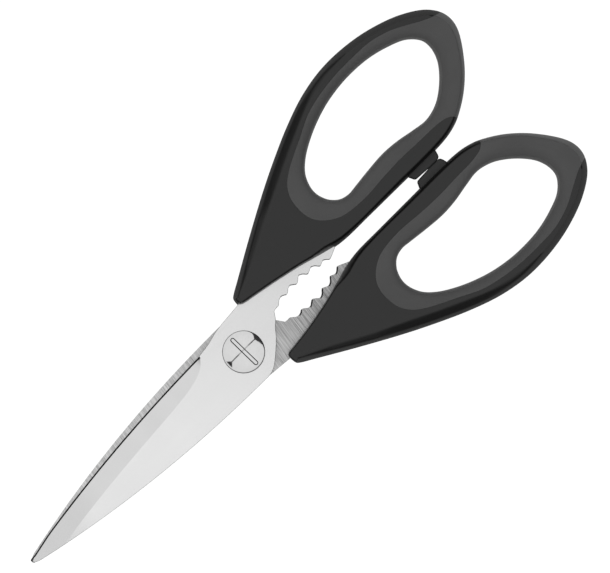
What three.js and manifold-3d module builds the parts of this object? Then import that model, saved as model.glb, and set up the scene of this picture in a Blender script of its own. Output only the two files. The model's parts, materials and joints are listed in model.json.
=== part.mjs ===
// Poultry shears: two stamped blades turning on a slotted pivot screw, each with a hard handle moulded
// over its tang, a soft grip lining the finger bow, and a stop buffer between the handles.
//
// Millimetres, +Z up. The shears lie flat and closed, X along them with the handles at +X. The origin is
// under the middle of their length and width, on the surface that they lie on.
//
// The two halves are the same half turned over about X. A half is drawn about the pivot, with z = 0 in the
// plane where the blades meet: its blade points to -X, and its handle is on the +Y side.

import * as THREE from "three";
import { mergeVertices } from "three/addons/utils/BufferGeometryUtils.js";
import Module from "manifold-3d";

const wasm = await Module();
wasm.setup();

// ---- Driving dimensions -------------------------------------------------------------------------------

const TIP_REACH = 94.4; // pivot to blade tip
const REAR_REACH = 120.5; // pivot to the back of the bows
const HANDLE_HALF = 6.5; // half the handle's thickness
const PIVOT_X = (TIP_REACH - REAR_REACH) / 2;

const BLADE_THICK = 2.5;
const BLADE_GAP = 0.1; // each blade's inner face to the plane where they meet
const BLADE_FACE = BLADE_GAP + BLADE_THICK;
const EDGE_THICK = 0.35;
const SPINE_DEPTH = 11.05;
const SPINE_BEND = 0.000722;
const EDGE_DEPTH = 8.88;
const EDGE_BEND = 0.000567;
const BEND_POWER = 2.1; // the spine and the edge bend together towards the tip
const TIP_ROUND_FROM = 92;
const BEVEL_START = 11; // the ground bevel plunges into the blade here
const BEVEL_WIDE = 6;
const BEVEL_HEEL = 4.6; // how far the bevel takes to open
const EDGE_WIDTH = 0.1; // what is left of the blade's width at the very tip
const LEAST_WIDTH = 0.05; // keeps the loft's corners apart where the bevel runs out

const PIVOT_R = 3;
const PIVOT_HOLE_R = 3.1;
const HEAD_R = 6.75;
const HEAD_RIM = 0.45;
const HEAD_HIGH = 1.9;
const HEAD_EASE = 0.1; // the head's rim is eased by this
const SLOT_LONG = 11.7;
const SLOT_WIDE = 1.5;
const SLOT_DEEP = 0.5;
const THREAD_R = 2.4;
const THREAD_CHAMFER = 0.4;
const NUT_R = 6;
const NUT_HIGH = 1.7;
const NUT_CHAMFER = 1.6;
const NUT_SLOT_HALF = 0.7;
const NUT_SLOT_DEEP = 0.7;
const SCREW_SUNK = 0.3; // the screw's end stops short of the nut's face by this
const SPRING_HIGH = 0.55;
const SPRING_THICK = 0.35;
const WASHER_R = 5;
const WASHER_THICK = 0.6;
const WASHER_POCKET = 0.25; // depth of the recess in each blade's inner face
const RUNNING = 0.05; // between flat faces that slide on each other

const MOULD_GAP = 0.3; // between a moulding and what it is moulded round
const CORE_SKIN = 2.2; // soft grip over the hard core
const CORE_HALF = 4.2;
const CORE_FROM = 46.5;
const LOCK_R = 2.4; // plastic posts through the holes in the tang
const LOCKS = [
  [21, 14],
  [32, 17],
];

const BUFFER_FROM = 75.8;
const BUFFER_LONG = 11.8;
const BUFFER_HALF = 3.5;
const BUFFER_FACE = 0.16; // leaves a hair's gap between the two buffers when the shears are shut
const BUFFER_SEAT = 3.9; // bottom of the buffer's recess in the handle
const PEG_LONG = 5;
const PEG_DEEP = 2.2;
const PEG_HALF = 1.6;

// Outline of the handle at its parting line: the nose, the outer side, the rear, and back along the jaw.
const HANDLE = [
  [9.15, 10.8], [9.03, 11.8], [9.07, 13], [9.41, 14.25], [10.57, 15.2], [14, 17.18], [26, 24.08],
  [40, 31.7], [50, 36.63], [60, 41.03], [70, 44.45], [80, 46.2], [90, 46.07], [100, 44.34],
  [110.13, 40.7], [117.27, 35.88], [120.21, 30.97], [120, 25.57], [114.07, 16.14], [107.13, 9.36],
  [100.06, 4.95], [97, 3.77], [93.05, 2.9], [85, 2.45], [72, 2.5], [58, 2.57], [47.5, 2.7],
  [42, 3.55], [36, 5.25], [30, 6.85], [20, 8.8], [12.5, 9.8], [10, 10.1],
];

// Outline of the finger bow's opening.
const BOW = [
  [51.37, 20], [51.77, 22.77], [53.4, 26.23], [56.22, 29.1], [60.1, 31.7], [66.15, 34.63],
  [73.12, 36.96], [80, 38.2], [86, 38.52], [93, 38.04], [99.9, 36.36], [105.66, 33.88],
  [108.97, 30.2], [109.45, 26.8], [108.16, 22.47], [104.6, 17.86], [99.55, 13.78], [95.83, 12.1],
  [92, 11.44], [87.07, 12.1], [81, 13.17], [75, 13.57], [68, 13.05], [62, 12.36], [58.5, 12.05],
  [55.44, 12.87], [53, 15.12], [51.78, 17.67],
];

// The seam between hard shell and soft grip. Behind the bow it runs outside the handle, so that the grip
// there goes all the way round.
const SEAM = [
  [43.9, 19.5], [44.3, 16], [45.7, 13.1], [48.4, 10.5], [52, 8.6], [56, 7.8], [62, 7.5], [70, 8.1],
  [78, 8.4], [86, 8.15], [94, 7.9], [97.8, 7], [100, 4.9], [103, 1], [114, 7], [123, 20], [124.5, 31],
  [120, 32.2], [116.3, 33], [112.8, 34.6], [108.8, 36.8], [103.8, 39.3], [97, 41.2], [90, 41.6],
  [82, 41.5], [74, 40.5], [67, 38.7], [60, 35.3], [55, 32.9], [50.5, 30.5], [47, 27.9], [45, 25],
  [44.2, 22.5],
];

// The blade's edge from its shoulder down the throat to the jaw, and the jaw's toothed edge.
const THROAT = [
  [0, -SPINE_DEPTH], [1.4, -10.85], [2.7, -10.45], [3.8, -9.85], [5.2, -8.8], [8.5, -5.95],
  [10.6, -3.9], [12.5, -1.6], [13.4, -0.7], [14.2, -0.05],
];
const JAW = [
  [15.9, 2.4], [16.9, 2.55], [18, 2.6], [19.5, 3.75], [20.4, 4], [21.3, 3.8], [22.2, 3.3], [23, 3.5],
  [24.2, 4.4], [25.1, 4.5], [26, 3.9], [26.9, 3.4], [28, 3.95], [29.1, 4.8], [30.2, 4.4],
  [31.6, 3.15], [32.5, 3.45], [33.7, 3.95], [34.8, 3.5], [36.1, 2.2], [37, 2.5], [37.9, 2.8],
  [38.7, 2.45], [39.8, 1.6], [40.8, 1.85], [42, 2.4], [43.6, 3.1],
];
// The tang inside the handle, and the plate's other edge from the nose to the bevel.
const TANG = [[44, 4], [43, 6.5], [41.2, 9], [41.2, 20], [38.5, 22.8], [26, 18.4], [9.3, 12]];
const SHOULDER = [[5, 11.45], [1, 11.1], [-2, 10.65], [-4, 10.15], [-6, 9.65], [-8, 9.3]];

// How the handle's sides draw in from the parting line to the flat top: [inset, height] pairs.
const NOSE_SIDE = [[0, 0], [0.2, 2.6], [0.3, 4.8], [0.7, HANDLE_HALF]];
const JAW_SIDE = [[0, 0], [0.15, 2.6], [0.35, 4.8], [0.8, HANDLE_HALF]];
const OUTER_SIDE = [[0, 0], [0.7, 2.6], [1.45, 4.8], [2.1, HANDLE_HALF]];
const FACET_SIDE = [[0, 0], [0.5, 2.6], [1.3, 4.8], [3.7, HANDLE_HALF]];
const BOW_SIDE = [[0, 0], [0.15, 2.6], [0.5, 4.8], [2, HANDLE_HALF]];

// ---- Solids -------------------------------------------------------------------------------------------

// A closed geometry as a manifold-3d solid.
function solidOf(geometry) {
  const bare = geometry.clone();
  bare.deleteAttribute("normal");
  bare.deleteAttribute("uv");
  const merged = mergeVertices(bare, 1e-5);
  return new wasm.Manifold(
    new wasm.Mesh({
      numProp: 3,
      vertProperties: merged.attributes.position.array,
      triVerts: new Uint32Array(merged.index.array),
    }),
  );
}

// A manifold-3d solid as a geometry.
function geometryOf(solid) {
  const { numProp, numVert, vertProperties, triVerts } = solid.getMesh();
  const positions = new Float32Array(numVert * 3);
  for (let i = 0; i < numVert; i++) {
    positions.set(vertProperties.subarray(i * numProp, i * numProp + 3), i * 3);
  }
  const geometry = new THREE.BufferGeometry();
  geometry.setAttribute("position", new THREE.BufferAttribute(positions, 3));
  geometry.setIndex(new THREE.BufferAttribute(triVerts, 1));
  geometry.computeVertexNormals();
  return geometry;
}

function prism(points, low, high) {
  const shape = new THREE.Shape(points.map(([x, y]) => new THREE.Vector2(x, y)));
  const geometry = new THREE.ExtrudeGeometry(shape, { depth: high - low, bevelEnabled: false });
  return solidOf(geometry.translate(0, 0, low));
}

function block([x0, y0, z0], [x1, y1, z1]) {
  const geometry = new THREE.BoxGeometry(x1 - x0, y1 - y0, z1 - z0);
  return solidOf(geometry.translate((x0 + x1) / 2, (y0 + y1) / 2, (z0 + z1) / 2));
}

function post([x, y], radius, low, high, sides = 32) {
  const geometry = new THREE.CylinderGeometry(radius, radius, high - low, sides);
  return solidOf(geometry.rotateX(Math.PI / 2).translate(x, y, (low + high) / 2));
}

// A turned solid from [radius, z] points that run up its outside, from axis to axis or round a ring.
function turned(profile, sides = 40) {
  const points = profile.map(([r, z]) => new THREE.Vector2(r, z));
  return solidOf(new THREE.LatheGeometry(points, sides).rotateX(Math.PI / 2));
}

// ---- Outlines -----------------------------------------------------------------------------------------

// A smooth closed loop through the points, with some samples to each, running anticlockwise.
function smoothLoop(points, samples = 2) {
  const ring = points.map(([x, y]) => new THREE.Vector3(x, y, 0));
  const curve = new THREE.CatmullRomCurve3(ring, true, "centripetal");
  const loop = curve.getPoints(points.length * samples).slice(0, -1).map((p) => [p.x, p.y]);
  const area = THREE.ShapeUtils.area(loop.map(([x, y]) => new THREE.Vector2(x, y)));
  return area < 0 ? loop.reverse() : loop;
}

// A smooth open line through the points.
function smoothLine(points, samples = 3) {
  const line = points.map(([x, y]) => new THREE.Vector3(x, y, 0));
  const curve = new THREE.CatmullRomCurve3(line, false, "centripetal");
  return curve.getPoints((points.length - 1) * samples).map((p) => [p.x, p.y]);
}

// The outward normal at each point of an anticlockwise loop.
function normalsOf(loop) {
  return loop.map((_, i) => {
    const [ax, ay] = loop.at(i - 1);
    const [bx, by] = loop[(i + 1) % loop.length];
    const length = Math.hypot(bx - ax, by - ay);
    return [(by - ay) / length, (ax - bx) / length];
  });
}

// The loop moved outwards by a distance, inwards if that is negative.
function grown(loop, distance) {
  const normals = normalsOf(loop);
  return loop.map(([x, y], i) => [x + normals[i][0] * distance, y + normals[i][1] * distance]);
}

// A plate with one opening whose sides draw in towards both faces. sideAt gives a point's [inset, height]
// pairs from its outward normal and place, and openingSide those of the opening.
function shapedPlate(outline, sideAt, opening, openingSide) {
  const positions = [];
  const indices = [];
  const levels = openingSide.length;
  const layers = 2 * levels - 1;

  const addWall = (loop, pairsOf, outwards) => {
    const normals = normalsOf(loop);
    const start = positions.length / 3;
    for (let layer = 0; layer < layers; layer++) {
      const side = Math.sign(layer - levels + 1);
      loop.forEach(([x, y], i) => {
        const [inset, height] = pairsOf(normals[i], loop[i])[Math.abs(layer - levels + 1)];
        const move = outwards ? -inset : inset;
        positions.push(x + normals[i][0] * move, y + normals[i][1] * move, side * height);
      });
    }
    for (let layer = 0; layer < layers - 1; layer++) {
      loop.forEach((_, i) => {
        const a = start + layer * loop.length + i;
        const b = start + layer * loop.length + ((i + 1) % loop.length);
        const quad = [a, b, b + loop.length, a, b + loop.length, a + loop.length];
        indices.push(...(outwards ? quad : quad.reverse()));
      });
    }
    return start;
  };

  const outerStart = addWall(outline, sideAt, true);
  const openingStart = addWall(opening, () => openingSide, false);

  const flat = (start, layer, count) =>
    Array.from({ length: count }, (_, i) => start + layer * count + i);
  for (const layer of [0, layers - 1]) {
    const outer = flat(outerStart, layer, outline.length);
    const inner = flat(openingStart, layer, opening.length).reverse();
    const at = (v) => new THREE.Vector2(positions[v * 3], positions[v * 3 + 1]);
    const corners = [...outer, ...inner];
    const faces = THREE.ShapeUtils.triangulateShape(outer.map(at), [inner.map(at)]);
    for (const face of faces) {
      const turn = layer === 0 ? [...face].reverse() : face;
      indices.push(...turn.map((v) => corners[v]));
    }
  }

  const geometry = new THREE.BufferGeometry();
  geometry.setAttribute("position", new THREE.Float32BufferAttribute(positions, 3));
  geometry.setIndex(indices);
  return solidOf(geometry);
}

// ---- Blade --------------------------------------------------------------------------------------------

const bendAt = (x) => Math.abs(x) ** BEND_POWER;
const tipRound = (x) =>
  Math.sqrt(Math.max(0, 1 - (Math.max(0, -x - TIP_ROUND_FROM) / (TIP_REACH - TIP_ROUND_FROM)) ** 2));
const spineAt = (x) => (-SPINE_DEPTH + SPINE_BEND * bendAt(x)) * tipRound(x);
const edgeAt = (x) => EDGE_WIDTH + (EDGE_DEPTH - EDGE_WIDTH - EDGE_BEND * bendAt(x)) * tipRound(x);

// Width of the ground bevel, which opens in a curve from its heel.
function bevelAt(x) {
  const along = Math.max(0, -x - BEVEL_START);
  return BEVEL_WIDE * (1 - Math.exp(-((along / BEVEL_HEEL) ** 0.8))) + LEAST_WIDTH;
}

// The ground part of the blade, lofted from its tip to just behind the start of the bevel.
function groundBlade() {
  const stations = [];
  for (let i = 0; i <= 22; i++) {
    stations.push(-TIP_REACH * Math.cos((i / 22) ** 1.15 * 1.37));
  }
  for (const along of [5, 3, 1.6, 0.7, 0.2, 0]) {
    stations.push(-BEVEL_START - along);
  }
  stations.push(-BEVEL_START + 1);

  const positions = [];
  const indices = [];
  const slope = (BLADE_THICK - EDGE_THICK) / (BEVEL_WIDE + LEAST_WIDTH);
  for (const x of stations) {
    const [spine, edge, width] = [spineAt(x), edgeAt(x), bevelAt(x)];
    const bevelTop = Math.max(spine + LEAST_WIDTH, edge - width);
    const edgeTop = BLADE_FACE - slope * width;
    const top = edgeTop + slope * (edge - bevelTop);
    positions.push(x, spine, BLADE_GAP, x, edge, BLADE_GAP, x, edge, edgeTop);
    positions.push(x, bevelTop, top, x, spine, top);
  }
  const sides = 5;
  for (let s = 0; s < stations.length - 1; s++) {
    for (let i = 0; i < sides; i++) {
      const a = s * sides + i;
      const b = s * sides + ((i + 1) % sides);
      indices.push(a, b, b + sides, a, b + sides, a + sides);
    }
  }
  const last = (stations.length - 1) * sides;
  for (let i = 1; i < sides - 1; i++) {
    indices.push(0, i + 1, i);
    indices.push(last, last + i, last + i + 1);
  }
  const geometry = new THREE.BufferGeometry();
  geometry.setAttribute("position", new THREE.Float32BufferAttribute(positions, 3));
  geometry.setIndex(indices);
  return solidOf(geometry);
}

// The blade's plate behind its bevel: pivot boss, toothed jaw and tang.
function plateOutline() {
  const outline = [];
  for (let x = -BEVEL_START; x < 0; x += 2.75) {
    outline.push([x, spineAt(x)]);
  }
  outline.push(...THROAT, ...smoothLine(JAW), ...TANG, ...SHOULDER, [-BEVEL_START, edgeAt(-BEVEL_START)]);
  return outline;
}

function blade() {
  const plate = prism(plateOutline(), BLADE_GAP, BLADE_FACE);
  const holes = [
    post([0, 0], PIVOT_HOLE_R, -1, BLADE_FACE + 1),
    post([0, 0], WASHER_R + 0.2, -1, BLADE_GAP + WASHER_POCKET, 48),
    ...LOCKS.map((at) => post(at, LOCK_R + MOULD_GAP, -1, BLADE_FACE + 1, 20)),
  ];
  return holes.reduce((body, hole) => body.subtract(hole), plate.add(groundBlade()));
}

// ---- Handle -------------------------------------------------------------------------------------------

const blend = (from, to, share) =>
  from.map(([inset, height], i) => [
    THREE.MathUtils.lerp(inset, to[i][0], share),
    THREE.MathUtils.lerp(height, to[i][1], share),
  ]);

// The nose and the jaw's side are crisp. The outer side leans in, with a wide facet along its middle.
function handleSide([normalX, normalY], [x]) {
  const outward = THREE.MathUtils.smoothstep(normalY + 0.8 * normalX, -0.5, 0.6);
  const faceted = THREE.MathUtils.smoothstep(x, 14, 40) * (1 - THREE.MathUtils.smoothstep(x, 66, 88));
  const behindNose = THREE.MathUtils.smoothstep(x, 10, 24);
  const outer = blend(OUTER_SIDE, FACET_SIDE, faceted);
  return blend(NOSE_SIDE, blend(JAW_SIDE, outer, outward), behindNose);
}

// The hard core inside the soft grip, made larger by a clearance when it is cut out of the grip.
function gripCore(clearance) {
  const rear = grown(smoothLoop(HANDLE), clearance - CORE_SKIN).filter(
    ([x]) => x > CORE_FROM - clearance,
  );
  const opening = grown(smoothLoop(BOW), CORE_SKIN - clearance);
  const half = CORE_HALF + clearance;
  return prism(rear, -half, half).subtract(prism(opening, -half - 1, half + 1));
}

function handleParts() {
  const whole = shapedPlate(smoothLoop(HANDLE), handleSide, smoothLoop(BOW), BOW_SIDE);
  const seam = smoothLoop(SEAM);
  const above = HANDLE_HALF + 1;
  const grip = whole
    .intersect(prism(grown(seam, -MOULD_GAP), -above, above))
    .subtract(gripCore(MOULD_GAP));

  const tangSlot = LOCKS.reduce(
    (slot, at) => slot.subtract(post(at, LOCK_R, -1, BLADE_FACE + 1, 20)),
    prism(grown(plateOutline(), MOULD_GAP), BLADE_GAP - MOULD_GAP, BLADE_FACE + MOULD_GAP),
  );
  const bufferEnd = BUFFER_FROM + BUFFER_LONG;
  const middle = BUFFER_FROM + BUFFER_LONG / 2;
  const seat = block(
    [BUFFER_FROM - MOULD_GAP, 0, -BUFFER_HALF - MOULD_GAP],
    [bufferEnd + MOULD_GAP, BUFFER_SEAT, BUFFER_HALF + MOULD_GAP],
  );
  const socket = block(
    [middle - PEG_LONG / 2 - MOULD_GAP, BUFFER_SEAT - 1, -PEG_HALF - MOULD_GAP],
    [middle + PEG_LONG / 2 + MOULD_GAP, BUFFER_SEAT + PEG_DEEP, PEG_HALF + MOULD_GAP],
  );
  const shell = whole
    .subtract(prism(seam, -above, above))
    .add(gripCore(0))
    .subtract(tangSlot)
    .subtract(seat)
    .subtract(socket);
  return { shell, grip };
}

// A block standing in a recess of the handle on a square peg. Its ends draw in, and the front of its face
// leans back from the other buffer.
function stopBuffer() {
  const end = BUFFER_FROM + BUFFER_LONG;
  const base = BUFFER_SEAT - MOULD_GAP;
  const foot = prism(
    [
      [BUFFER_FROM, base], [BUFFER_FROM, 2.3], [BUFFER_FROM + 0.65, 0.9], [BUFFER_FROM + 1.4, 0.4],
      [end - 5.4, BUFFER_FACE], [end - 1.6, BUFFER_FACE], [end - 0.65, 0.5], [end - 0.15, 1.8],
      [end, 2.4], [end, base],
    ],
    -BUFFER_HALF,
    BUFFER_HALF,
  );
  const middle = BUFFER_FROM + BUFFER_LONG / 2;
  const peg = block(
    [middle - PEG_LONG / 2, base - 1, -PEG_HALF],
    [middle + PEG_LONG / 2, base + PEG_DEEP, PEG_HALF],
  );
  return foot.add(peg);
}

// ---- Pivot --------------------------------------------------------------------------------------------

// A low dome's [radius, z] points, from its rim to its crown.
function dome(radius, base, rise, steps = 4) {
  return Array.from({ length: steps + 1 }, (_, i) => {
    const share = 1 - i / steps;
    return [radius * share, base + rise * (1 - share ** 2)];
  });
}

function screwSlot(bottom, top) {
  const half = SLOT_WIDE / 2;
  const straight = SLOT_LONG / 2 - half;
  return block([-half, -straight, bottom], [half, straight, top])
    .add(post([0, straight], half, bottom, top, 16))
    .add(post([0, -straight], half, bottom, top, 16));
}

// Domed head on the front blade, a plain neck through both blades, and a threaded end in the nut.
function pivotScrew() {
  const under = BLADE_FACE + RUNNING;
  const neckEnd = -BLADE_FACE - SPRING_HIGH - 2 * RUNNING;
  const end = neckEnd - NUT_HIGH + SCREW_SUNK;
  const body = turned([
    [0, end],
    [THREAD_R - THREAD_CHAMFER, end],
    [THREAD_R, end + THREAD_CHAMFER],
    [THREAD_R, neckEnd],
    [PIVOT_R, neckEnd + RUNNING],
    [PIVOT_R, under],
    [HEAD_R, under],
    ...dome(HEAD_R - HEAD_EASE, under + HEAD_RIM, HEAD_HIGH - HEAD_RIM),
  ]);
  return body.subtract(screwSlot(under + HEAD_HIGH - SLOT_DEEP, under + HEAD_HIGH + 1));
}

// A round nut with a low crown, a slot across it for a driver and the screw's end showing in its middle.
function pivotNut() {
  const face = -BLADE_FACE - SPRING_HIGH - 2 * RUNNING;
  const bore = THREAD_R + RUNNING;
  const body = turned([
    [bore, face - NUT_HIGH],
    [NUT_R - NUT_CHAMFER, face - NUT_HIGH],
    [NUT_R, face - NUT_SLOT_DEEP],
    [NUT_R, face - RUNNING],
    [bore, face - RUNNING],
    [bore, face - NUT_HIGH],
  ]);
  const low = face - NUT_HIGH - 1;
  const slot = block(
    [-NUT_SLOT_HALF, -NUT_R - 1, low],
    [NUT_SLOT_HALF, NUT_R + 1, face - NUT_HIGH + NUT_SLOT_DEEP],
  );
  return body.subtract(slot);
}

// A coned disc that presses the blades together.
function discSpring() {
  const low = -BLADE_FACE - RUNNING - SPRING_HIGH;
  const high = -BLADE_FACE - RUNNING;
  return turned([
    [PIVOT_HOLE_R, low],
    [WASHER_R + 0.2, high - SPRING_THICK],
    [WASHER_R + 0.2, high],
    [PIVOT_HOLE_R, low + SPRING_THICK],
    [PIVOT_HOLE_R, low],
  ]);
}

function frictionWasher() {
  const half = WASHER_THICK / 2;
  return turned([
    [PIVOT_HOLE_R, -half],
    [WASHER_R, -half],
    [WASHER_R, half],
    [PIVOT_HOLE_R, half],
    [PIVOT_HOLE_R, -half],
  ]);
}

// ---- Materials and assembly ---------------------------------------------------------------------------

const metal = (color, roughness) =>
  new THREE.MeshStandardMaterial({ color, roughness, metalness: 1 });
const plastic = (color, roughness) =>
  new THREE.MeshStandardMaterial({ color, roughness, metalness: 0 });

const bladeSteel = metal(0xd6d7d8, 0.3);
const pivotSteel = metal(0xc9cacb, 0.25);
const springSteel = metal(0x9b9c9e, 0.35);
const nylon = plastic(0xe4e0d4, 0.5);
const hardShell = plastic(0x2b2b2c, 0.45);
const softGrip = plastic(0x4a4a4b, 0.8);
const bufferRubber = plastic(0x242425, 0.7);

function named(name, solid, material) {
  const mesh = new THREE.Mesh(geometryOf(solid), material);
  mesh.name = name;
  return mesh;
}

const bladeSolid = blade();
const { shell, grip } = handleParts();
const buffer = stopBuffer();

function half(side) {
  const group = new THREE.Group();
  group.add(
    named(`${side}_blade`, bladeSolid, bladeSteel),
    named(`${side}_handle_shell`, shell, hardShell),
    named(`${side}_soft_grip`, grip, softGrip),
    named(`${side}_stop_buffer`, buffer, bufferRubber),
  );
  return group;
}

const frontHalf = half("front");
const backHalf = half("back");
backHalf.rotation.x = Math.PI;

const shears = new THREE.Group();
shears.add(
  frontHalf,
  backHalf,
  named("pivot_screw", pivotScrew(), pivotSteel),
  named("pivot_nut", pivotNut(), pivotSteel),
  named("disc_spring", discSpring(), springSteel),
  named("friction_washer", frictionWasher(), nylon),
);
shears.position.set(PIVOT_X, 0, HANDLE_HALF);

export default shears;
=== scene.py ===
"""Poultry shears: fine surfaces, materials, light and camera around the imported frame.

A half of the shears is drawn in millimetres about the pivot, with z = 0 in the plane where the
blades meet: its blade points to -X, and its handle is on the +Y side. The back half is the same
half turned over about X.
"""

import json
import math

import bpy
import numpy as np
from mathutils import Matrix, Vector, kdtree
from mathutils.geometry import delaunay_2d_cdt

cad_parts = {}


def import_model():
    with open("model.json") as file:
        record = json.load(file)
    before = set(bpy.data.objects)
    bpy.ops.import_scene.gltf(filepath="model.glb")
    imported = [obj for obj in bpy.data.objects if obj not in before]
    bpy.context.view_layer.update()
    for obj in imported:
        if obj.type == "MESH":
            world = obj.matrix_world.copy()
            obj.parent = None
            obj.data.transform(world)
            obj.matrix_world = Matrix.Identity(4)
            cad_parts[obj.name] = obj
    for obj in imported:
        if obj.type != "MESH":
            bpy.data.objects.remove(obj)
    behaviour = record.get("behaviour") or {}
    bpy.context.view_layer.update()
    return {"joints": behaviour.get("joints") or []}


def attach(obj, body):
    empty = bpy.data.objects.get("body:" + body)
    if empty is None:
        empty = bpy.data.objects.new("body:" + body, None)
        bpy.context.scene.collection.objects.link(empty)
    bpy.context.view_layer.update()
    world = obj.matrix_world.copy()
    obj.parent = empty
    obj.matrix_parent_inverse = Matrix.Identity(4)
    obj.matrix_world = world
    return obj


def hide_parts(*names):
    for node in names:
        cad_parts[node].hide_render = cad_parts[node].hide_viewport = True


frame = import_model()

MM = 0.001
PIVOT = Vector(frame["joints"][0]["pos_m"])
BODIES = {"front": "front_half", "back": "back_half"}
PIVOT_BODY = "back_half"

# ---- Driving dimensions, in millimetres ---------------------------------------------------------

HANDLE_HALF = 6.5

BLADE_GAP = 0.1
BLADE_THICK = 2.5
BLADE_FACE = BLADE_GAP + BLADE_THICK
EDGE_THICK = 0.35
SPINE_DEPTH = 11.05
SPINE_BEND = 0.000722
EDGE_DEPTH = 8.88
EDGE_BEND = 0.000567
BEND_POWER = 2.1
OUTLINE_END = 92
POINT_FROM = 83
POINT_TO = 93
POINT_GROUND = 0.37
BEVEL_START = 11
BEVEL_WIDE = 6
BEVEL_OPENS = 4.6
BEVEL_CURVE = 0.8
FLARE_FROM = 76
FLARE_TO = 84
FLARE_WIDE = 0.5
HONE_WIDE = 0.49
HONED_THICK = 0.05
STAMPED_EDGE = 0.1
JAW_CHAMFER = 0.49
JAW_OUTER_CHAMFER = 0.25
THINNEST = 0.04

PIVOT_HOLE_R = 3.1
HEAD_R = 6.75
HEAD_RIM = 0.45
HEAD_HIGH = 1.9
HEAD_ROUND = 0.05
HEAD_ROUND_WIDE = 0.2
SLOT_FROM = -5.9
SLOT_TO = 5.8
SLOT_MIDDLE = 0.25
SLOT_TURN = -0.019
SLOT_WIDE = 1.5
SLOT_WALL = 0.3
SLOT_DEEP = 0.5
RUNNING = 0.05
THREAD_R = 2.4
THREAD_CHAMFER = 0.4
NECK_R = 3.0
AXIS_R = 0.01  # how close to its axis a turned solid comes
NUT_R = 6
NUT_HIGH = 1.7
SPRING_HIGH = 0.55
SPRING_THICK = 0.35
WASHER_R = 5
WASHER_THICK = 0.6

SEAM_DEEP = 0.04
SEAM_WIDE = 0.2

BUFFER_FROM = 75.8
BUFFER_TO = 87.6
BUFFER_HALF = 3.5
BUFFER_SEAT = 3.9
BUFFER_EASE = 0.35

# Outline of the handle at its parting line, of the finger bow's opening, and of the soft grip.
HANDLE = [
    (9.15, 10.8), (9.03, 11.8), (9.07, 13), (9.41, 14.25), (10.57, 15.2), (14, 17.18), (26, 24.08),
    (40, 31.7), (50, 36.63), (60, 41.03), (70, 44.45), (80, 46.2), (90, 46.07), (100, 44.34),
    (110.13, 40.7), (117.27, 35.88), (120.21, 30.97), (120, 25.57), (114.07, 16.14), (107.13, 9.36),
    (100.06, 4.95), (97, 3.77), (93.05, 2.9), (85, 2.45), (72, 2.5), (58, 2.57), (47.5, 2.7),
    (42, 3.55), (36, 5.25), (30, 6.85), (20, 8.8), (12.5, 9.8), (10, 10.1),
]
BOW = [
    (51.37, 20), (51.77, 22.77), (53.4, 26.23), (56.22, 29.1), (60.1, 31.7), (66.15, 34.63),
    (73.12, 36.96), (80, 38.2), (86, 38.52), (93, 38.04), (99.9, 36.36), (105.66, 33.88),
    (108.97, 30.2), (109.45, 26.8), (108.16, 22.47), (104.6, 17.86), (99.55, 13.78), (95.83, 12.1),
    (92, 11.44), (87.07, 12.1), (81, 13.17), (75, 13.57), (68, 13.05), (62, 12.36), (58.5, 12.05),
    (55.44, 12.87), (53, 15.12), (51.78, 17.67),
]
SEAM = [
    (43.9, 19.5), (44.3, 16), (45.7, 13.1), (48.4, 10.5), (52, 8.6), (56, 7.8), (62, 7.5),
    (70, 8.1), (78, 8.4), (86, 8.15), (94, 7.9), (97.8, 7), (100, 4.9), (103, 1), (114, 7),
    (123, 20), (124.5, 31), (120, 32.2), (116.3, 33), (112.8, 34.6), (108.8, 36.8), (103.8, 39.3),
    (97, 41.2), (90, 41.6), (82, 41.5), (74, 40.5), (67, 38.7), (60, 35.3), (55, 32.9),
    (50.5, 30.5), (47, 27.9), (45, 25), (44.2, 22.5),
]
# The jaw's toothed edge, from the throat to the handle.
JAW = [
    (15.9, 2.4), (16.9, 2.55), (18, 2.6), (19.5, 3.75), (20.4, 4), (21.3, 3.8), (22.2, 3.3),
    (23, 3.5), (24.2, 4.4), (25.1, 4.5), (26, 3.9), (26.9, 3.4), (28, 3.95), (29.1, 4.8),
    (30.2, 4.4), (31.6, 3.15), (32.5, 3.45), (33.7, 3.95), (34.8, 3.5), (36.1, 2.2), (37, 2.5),
    (37.9, 2.8), (38.7, 2.45), (39.8, 1.6), (40.8, 1.85), (42, 2.4), (43.6, 3.1),
]
# The blade's outline: from the spine over the shoulder to the throat, where the jaw starts, then
# the tang inside the handle, the heel of the edge, and the point.
SHOULDER = [(0, -SPINE_DEPTH), (1.4, -10.85), (2.7, -10.45), (3.8, -9.85)]
THROAT = [
    (3.8, -9.85), (5.2, -8.8), (8.5, -5.95), (10.6, -3.9), (12.5, -1.6), (13.4, -0.7),
    (14.2, -0.05),
]
TANG = [(44, 4), (43, 6.5), (41.2, 9), (41.2, 20), (38.5, 22.8), (26, 18.4), (9.3, 12)]
HEEL = [
    (9.3, 11.85), (5, 11.45), (1, 11.1), (-2, 10.65), (-4, 10.15), (-6, 9.65), (-8, 9.3),
    (-10.8, 8.95),
]
POINT = [(-93.5, 0.84), (-94.03, 0.68), (-94.22, 0.32), (-94, -0.24), (-93.4, -0.8)]
# A buffer's outline. It meets the other one at its rear, and its face draws back to the front.
BUFFER = [
    (BUFFER_FROM - 0.05, BUFFER_SEAT - 0.2), (BUFFER_FROM, 2.3), (76.15, 1.6), (76.45, 0.9),
    (76.75, 0.5), (77.2, 0.3), (78, 0.24), (82.2, 0), (86, 0), (86.5, 0.12), (86.95, 0.45),
    (87.25, 1.1), (87.45, 1.8), (BUFFER_TO, 2.4), (BUFFER_TO, BUFFER_SEAT - 0.2),
]
# The handle's mesh: insets from its outlines, joined by strips of quads, and then in loose rows.
HANDLE_STRIPS = (0, 0.15, 0.3, 0.45)
HANDLE_ROWS = (0.6, 0.75, 0.9, 1.1, 1.3, 1.5, 1.7, 1.9, 2.15, 2.5, 3, 3.5, 4, 4.7, 5.5)
HANDLE_GRID = 1.7
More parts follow.
